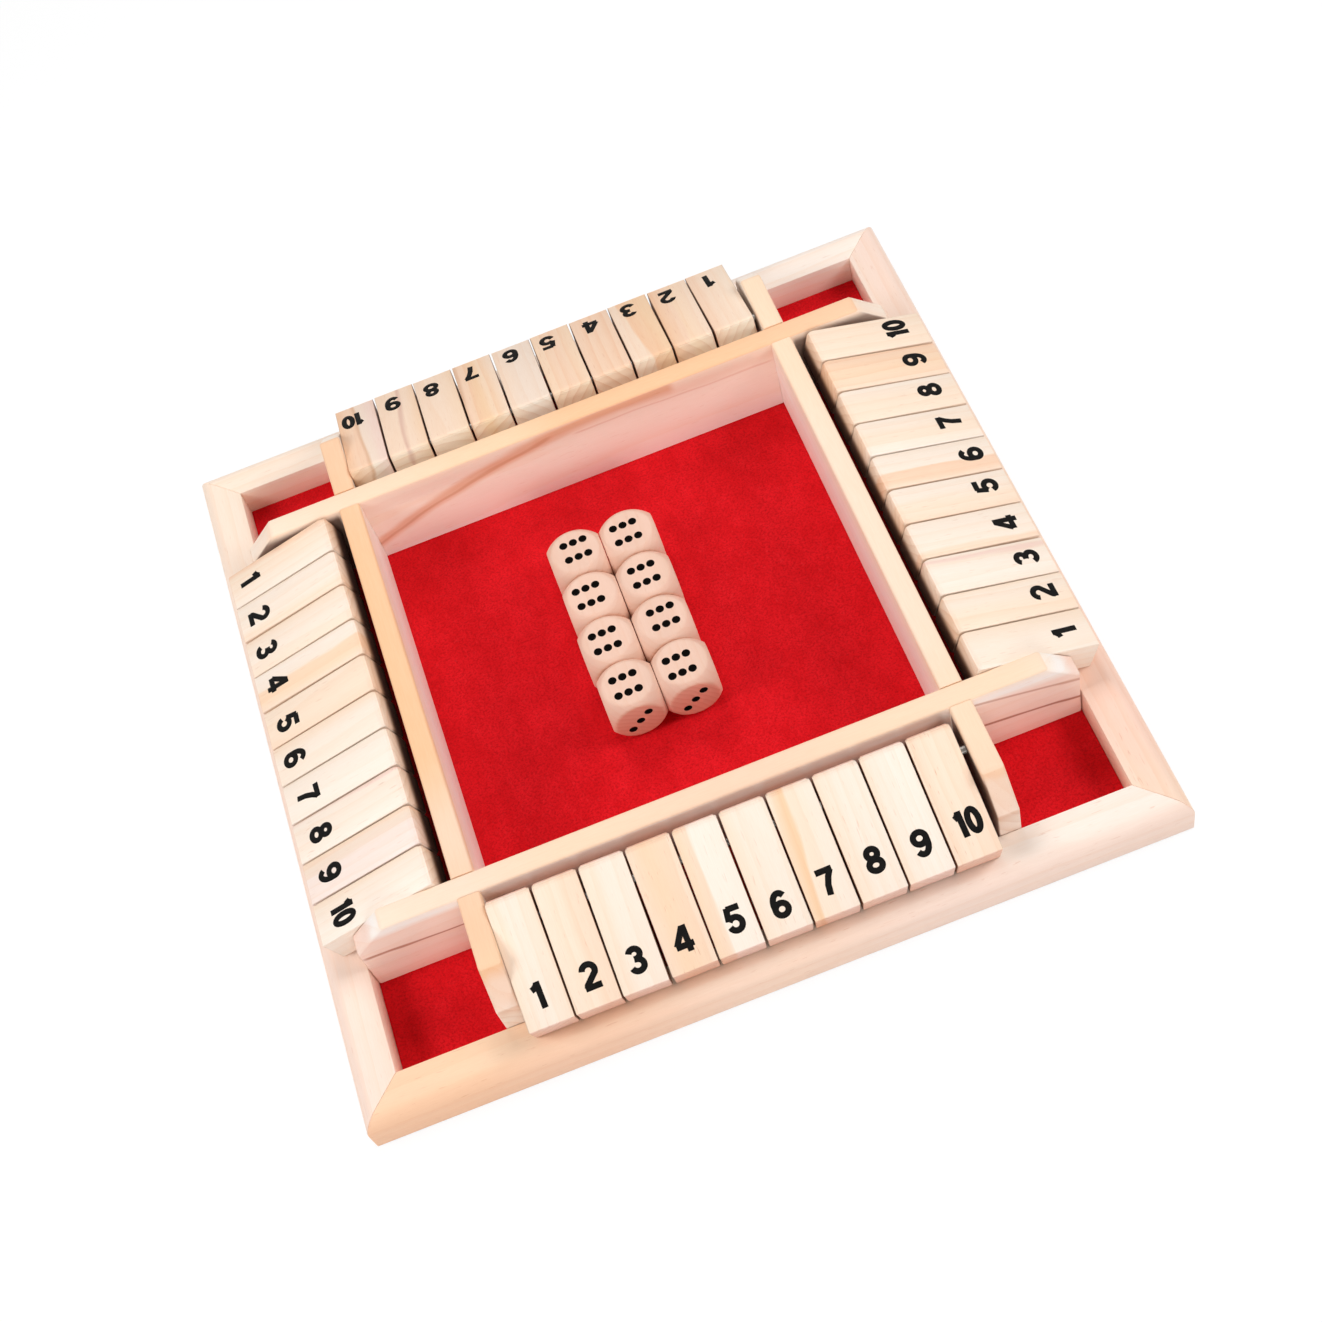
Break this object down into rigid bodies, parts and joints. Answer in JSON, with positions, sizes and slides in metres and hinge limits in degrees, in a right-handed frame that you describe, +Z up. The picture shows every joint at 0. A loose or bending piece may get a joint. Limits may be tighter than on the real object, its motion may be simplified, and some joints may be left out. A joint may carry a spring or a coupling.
{
  "type": "four-player shut the box game",
  "caption": "Square wooden dice board with a felt-lined tray, corner pockets, loose dice and a row of numbered flaps hinged on a steel rod along each side.",
  "frame": {"origin": "centre of the underside", "axes": "+X to the right and -Y to the front as the front row of numbers is read, +Z up"},
  "size_m": [0.222, 0.222, 0.0312],
  "materials": {
    "rail_wood": "sanded pine with a thin clear coat",
    "wall_wood": "sanded pine with a thin clear coat",
    "flap_wood": "sanded pine with printed black numbers",
    "die_wood": "tumbled light hardwood with black pips",
    "panel": "plain thin board",
    "felt": "red felt",
    "rod_steel": "plain drawn wire"
  },
  "bodies": {
    "board": {"base_panel": "panel", "felt_lining": "felt", "pivot_rods": "rod_steel", "front_rail": "rail_wood", "right_rail": "rail_wood", "back_rail": "rail_wood", "left_rail": "rail_wood", "front_wall": "wall_wood", "right_wall": "wall_wood", "back_wall": "wall_wood", "left_wall": "wall_wood"},
    "front_flap_1": {"front_flap_1": "flap_wood"},
    "front_flap_2": {"front_flap_2": "flap_wood"},
    "front_flap_3": {"front_flap_3": "flap_wood"},
    "front_flap_4": {"front_flap_4": "flap_wood"},
    "front_flap_5": {"front_flap_5": "flap_wood"},
    "front_flap_6": {"front_flap_6": "flap_wood"},
    "front_flap_7": {"front_flap_7": "flap_wood"},
    "front_flap_8": {"front_flap_8": "flap_wood"},
    "front_flap_9": {"front_flap_9": "flap_wood"},
    "front_flap_10": {"front_flap_10": "flap_wood"},
    "right_flap_1": {"right_flap_1": "flap_wood"},
    "right_flap_2": {"right_flap_2": "flap_wood"},
    "right_flap_3": {"right_flap_3": "flap_wood"},
    "right_flap_4": {"right_flap_4": "flap_wood"},
    "right_flap_5": {"right_flap_5": "flap_wood"},
    "right_flap_6": {"right_flap_6": "flap_wood"},
    "right_flap_7": {"right_flap_7": "flap_wood"},
    "right_flap_8": {"right_flap_8": "flap_wood"},
    "right_flap_9": {"right_flap_9": "flap_wood"},
    "right_flap_10": {"right_flap_10": "flap_wood"},
    "back_flap_1": {"back_flap_1": "flap_wood"},
    "back_flap_2": {"back_flap_2": "flap_wood"},
    "back_flap_3": {"back_flap_3": "flap_wood"},
    "back_flap_4": {"back_flap_4": "flap_wood"},
    "back_flap_5": {"back_flap_5": "flap_wood"},
    "back_flap_6": {"back_flap_6": "flap_wood"},
    "back_flap_7": {"back_flap_7": "flap_wood"},
    "back_flap_8": {"back_flap_8": "flap_wood"},
    "back_flap_9": {"back_flap_9": "flap_wood"},
    "back_flap_10": {"back_flap_10": "flap_wood"},
    "left_flap_1": {"left_flap_1": "flap_wood"},
    "left_flap_2": {"left_flap_2": "flap_wood"},
    "left_flap_3": {"left_flap_3": "flap_wood"},
    "left_flap_4": {"left_flap_4": "flap_wood"},
    "left_flap_5": {"left_flap_5": "flap_wood"},
    "left_flap_6": {"left_flap_6": "flap_wood"},
    "left_flap_7": {"left_flap_7": "flap_wood"},
    "left_flap_8": {"left_flap_8": "flap_wood"},
    "left_flap_9": {"left_flap_9": "flap_wood"},
    "left_flap_10": {"left_flap_10": "flap_wood"},
    "die_1": {"die_1": "die_wood"},
    "die_2": {"die_2": "die_wood"},
    "die_3": {"die_3": "die_wood"},
    "die_4": {"die_4": "die_wood"},
    "die_5": {"die_5": "die_wood"},
    "die_6": {"die_6": "die_wood"},
    "die_7": {"die_7": "die_wood"},
    "die_8": {"die_8": "die_wood"}
  },
  "joints": [
    {"name": "front_flap_1_turn", "type": "hinge", "parent": "board", "child": "front_flap_1", "pos_m": [-0.05733, -0.07955, 0.0249], "axis": [-1, 0, 0], "range_deg": [0, 131]},
    {"name": "front_flap_2_turn", "type": "hinge", "parent": "board", "child": "front_flap_2", "pos_m": [-0.04478, -0.07955, 0.0249], "axis": [-1, 0, 0], "range_deg": [0, 144]},
    {"name": "front_flap_3_turn", "type": "hinge", "parent": "board", "child": "front_flap_3", "pos_m": [-0.03223, -0.07955, 0.0249], "axis": [-1, 0, 0], "range_deg": [0, 144]},
    {"name": "front_flap_4_turn", "type": "hinge", "parent": "board", "child": "front_flap_4", "pos_m": [-0.01968, -0.07955, 0.0249], "axis": [-1, 0, 0], "range_deg": [0, 144]},
    {"name": "front_flap_5_turn", "type": "hinge", "parent": "board", "child": "front_flap_5", "pos_m": [-0.00713, -0.07955, 0.0249], "axis": [-1, 0, 0], "range_deg": [0, 144]},
    {"name": "front_flap_6_turn", "type": "hinge", "parent": "board", "child": "front_flap_6", "pos_m": [0.00542, -0.07955, 0.0249], "axis": [-1, 0, 0], "range_deg": [0, 144]},
    {"name": "front_flap_7_turn", "type": "hinge", "parent": "board", "child": "front_flap_7", "pos_m": [0.01797, -0.07955, 0.0249], "axis": [-1, 0, 0], "range_deg": [0, 144]},
    {"name": "front_flap_8_turn", "type": "hinge", "parent": "board", "child": "front_flap_8", "pos_m": [0.03052, -0.07955, 0.0249], "axis": [-1, 0, 0], "range_deg": [0, 144]},
    {"name": "front_flap_9_turn", "type": "hinge", "parent": "board", "child": "front_flap_9", "pos_m": [0.04307, -0.07955, 0.0249], "axis": [-1, 0, 0], "range_deg": [0, 144]},
    {"name": "front_flap_10_turn", "type": "hinge", "parent": "board", "child": "front_flap_10", "pos_m": [0.05562, -0.07955, 0.0249], "axis": [-1, 0, 0], "range_deg": [0, 144]},
    {"name": "right_flap_1_turn", "type": "hinge", "parent": "board", "child": "right_flap_1", "pos_m": [0.07955, -0.05733, 0.0249], "axis": [0, -1, 0], "range_deg": [0, 131]},
    {"name": "right_flap_2_turn", "type": "hinge", "parent": "board", "child": "right_flap_2", "pos_m": [0.07955, -0.04478, 0.0249], "axis": [0, -1, 0], "range_deg": [0, 144]},
    {"name": "right_flap_3_turn", "type": "hinge", "parent": "board", "child": "right_flap_3", "pos_m": [0.07955, -0.03223, 0.0249], "axis": [0, -1, 0], "range_deg": [0, 144]},
    {"name": "right_flap_4_turn", "type": "hinge", "parent": "board", "child": "right_flap_4", "pos_m": [0.07955, -0.01968, 0.0249], "axis": [0, -1, 0], "range_deg": [0, 144]},
    {"name": "right_flap_5_turn", "type": "hinge", "parent": "board", "child": "right_flap_5", "pos_m": [0.07955, -0.00713, 0.0249], "axis": [0, -1, 0], "range_deg": [0, 144]},
    {"name": "right_flap_6_turn", "type": "hinge", "parent": "board", "child": "right_flap_6", "pos_m": [0.07955, 0.00542, 0.0249], "axis": [0, -1, 0], "range_deg": [0, 144]},
    {"name": "right_flap_7_turn", "type": "hinge", "parent": "board", "child": "right_flap_7", "pos_m": [0.07955, 0.01797, 0.0249], "axis": [0, -1, 0], "range_deg": [0, 144]},
    {"name": "right_flap_8_turn", "type": "hinge", "parent": "board", "child": "right_flap_8", "pos_m": [0.07955, 0.03052, 0.0249], "axis": [0, -1, 0], "range_deg": [0, 144]},
    {"name": "right_flap_9_turn", "type": "hinge", "parent": "board", "child": "right_flap_9", "pos_m": [0.07955, 0.04307, 0.0249], "axis": [0, -1, 0], "range_deg": [0, 144]},
    {"name": "right_flap_10_turn", "type": "hinge", "parent": "board", "child": "right_flap_10", "pos_m": [0.07955, 0.05562, 0.0249], "axis": [0, -1, 0], "range_deg": [0, 144]},
    {"name": "back_flap_1_turn", "type": "hinge", "parent": "board", "child": "back_flap_1", "pos_m": [0.05613, 0.07955, 0.0249], "axis": [1, 0, 0], "range_deg": [0, 131]},
    {"name": "back_flap_2_turn", "type": "hinge", "parent": "board", "child": "back_flap_2", "pos_m": [0.04352, 0.07955, 0.0249], "axis": [1, 0, 0], "range_deg": [0, 144]},
    {"name": "back_flap_3_turn", "type": "hinge", "parent": "board", "child": "back_flap_3", "pos_m": [0.03091, 0.07955, 0.0249], "axis": [1, 0, 0], "range_deg": [0, 144]},
    {"name": "back_flap_4_turn", "type": "hinge", "parent": "board", "child": "back_flap_4", "pos_m": [0.0183, 0.07955, 0.0249], "axis": [1, 0, 0], "range_deg": [0, 144]},
    {"name": "back_flap_5_turn", "type": "hinge", "parent": "board", "child": "back_flap_5", "pos_m": [0.00569, 0.07955, 0.0249], "axis": [1, 0, 0], "range_deg": [0, 144]},
    {"name": "back_flap_6_turn", "type": "hinge", "parent": "board", "child": "back_flap_6", "pos_m": [-0.00692, 0.07955, 0.0249], "axis": [1, 0, 0], "range_deg": [0, 144]},
    {"name": "back_flap_7_turn", "type": "hinge", "parent": "board", "child": "back_flap_7", "pos_m": [-0.01953, 0.07955, 0.0249], "axis": [1, 0, 0], "range_deg": [0, 144]},
    {"name": "back_flap_8_turn", "type": "hinge", "parent": "board", "child": "back_flap_8", "pos_m": [-0.03214, 0.07955, 0.0249], "axis": [1, 0, 0], "range_deg": [0, 144]},
    {"name": "back_flap_9_turn", "type": "hinge", "parent": "board", "child": "back_flap_9", "pos_m": [-0.04475, 0.07955, 0.0249], "axis": [1, 0, 0], "range_deg": [0, 144]},
    {"name": "back_flap_10_turn", "type": "hinge", "parent": "board", "child": "back_flap_10", "pos_m": [-0.05736, 0.07955, 0.0249], "axis": [1, 0, 0], "range_deg": [0, 144]},
    {"name": "left_flap_1_turn", "type": "hinge", "parent": "board", "child": "left_flap_1", "pos_m": [-0.07955, 0.05613, 0.0249], "axis": [0, 1, 0], "range_deg": [0, 131]},
    {"name": "left_flap_2_turn", "type": "hinge", "parent": "board", "child": "left_flap_2", "pos_m": [-0.07955, 0.04352, 0.0249], "axis": [0, 1, 0], "range_deg": [0, 144]},
    {"name": "left_flap_3_turn", "type": "hinge", "parent": "board", "child": "left_flap_3", "pos_m": [-0.07955, 0.03091, 0.0249], "axis": [0, 1, 0], "range_deg": [0, 144]},
    {"name": "left_flap_4_turn", "type": "hinge", "parent": "board", "child": "left_flap_4", "pos_m": [-0.07955, 0.0183, 0.0249], "axis": [0, 1, 0], "range_deg": [0, 144]},
    {"name": "left_flap_5_turn", "type": "hinge", "parent": "board", "child": "left_flap_5", "pos_m": [-0.07955, 0.00569, 0.0249], "axis": [0, 1, 0], "range_deg": [0, 144]},
    {"name": "left_flap_6_turn", "type": "hinge", "parent": "board", "child": "left_flap_6", "pos_m": [-0.07955, -0.00692, 0.0249], "axis": [0, 1, 0], "range_deg": [0, 144]},
    {"name": "left_flap_7_turn", "type": "hinge", "parent": "board", "child": "left_flap_7", "pos_m": [-0.07955, -0.01953, 0.0249], "axis": [0, 1, 0], "range_deg": [0, 144]},
    {"name": "left_flap_8_turn", "type": "hinge", "parent": "board", "child": "left_flap_8", "pos_m": [-0.07955, -0.03214, 0.0249], "axis": [0, 1, 0], "range_deg": [0, 144]},
    {"name": "left_flap_9_turn", "type": "hinge", "parent": "board", "child": "left_flap_9", "pos_m": [-0.07955, -0.04475, 0.0249], "axis": [0, 1, 0], "range_deg": [0, 144]},
    {"name": "left_flap_10_turn", "type": "hinge", "parent": "board", "child": "left_flap_10", "pos_m": [-0.07955, -0.05736, 0.0249], "axis": [0, 1, 0], "range_deg": [0, 144]},
    {"name": "die_1_lift", "type": "slide", "parent": "board", "child": "die_1", "axis": [0, 0, 1], "range_m": [0, 0.04]},
    {"name": "die_2_lift", "type": "slide", "parent": "board", "child": "die_2", "axis": [0, 0, 1], "range_m": [0, 0.04]},
    {"name": "die_3_lift", "type": "slide", "parent": "board", "child": "die_3", "axis": [0, 0, 1], "range_m": [0, 0.04]},
    {"name": "die_4_lift", "type": "slide", "parent": "board", "child": "die_4", "axis": [0, 0, 1], "range_m": [0, 0.04]},
    {"name": "die_5_lift", "type": "slide", "parent": "board", "child": "die_5", "axis": [0, 0, 1], "range_m": [0, 0.04]},
    {"name": "die_6_lift", "type": "slide", "parent": "board", "child": "die_6", "axis": [0, 0, 1], "range_m": [0, 0.04]},
    {"name": "die_7_lift", "type": "slide", "parent": "board", "child": "die_7", "axis": [0, 0, 1], "range_m": [0, 0.04]},
    {"name": "die_8_lift", "type": "slide", "parent": "board", "child": "die_8", "axis": [0, 0, 1], "range_m": [0, 0.04]}
  ]
}
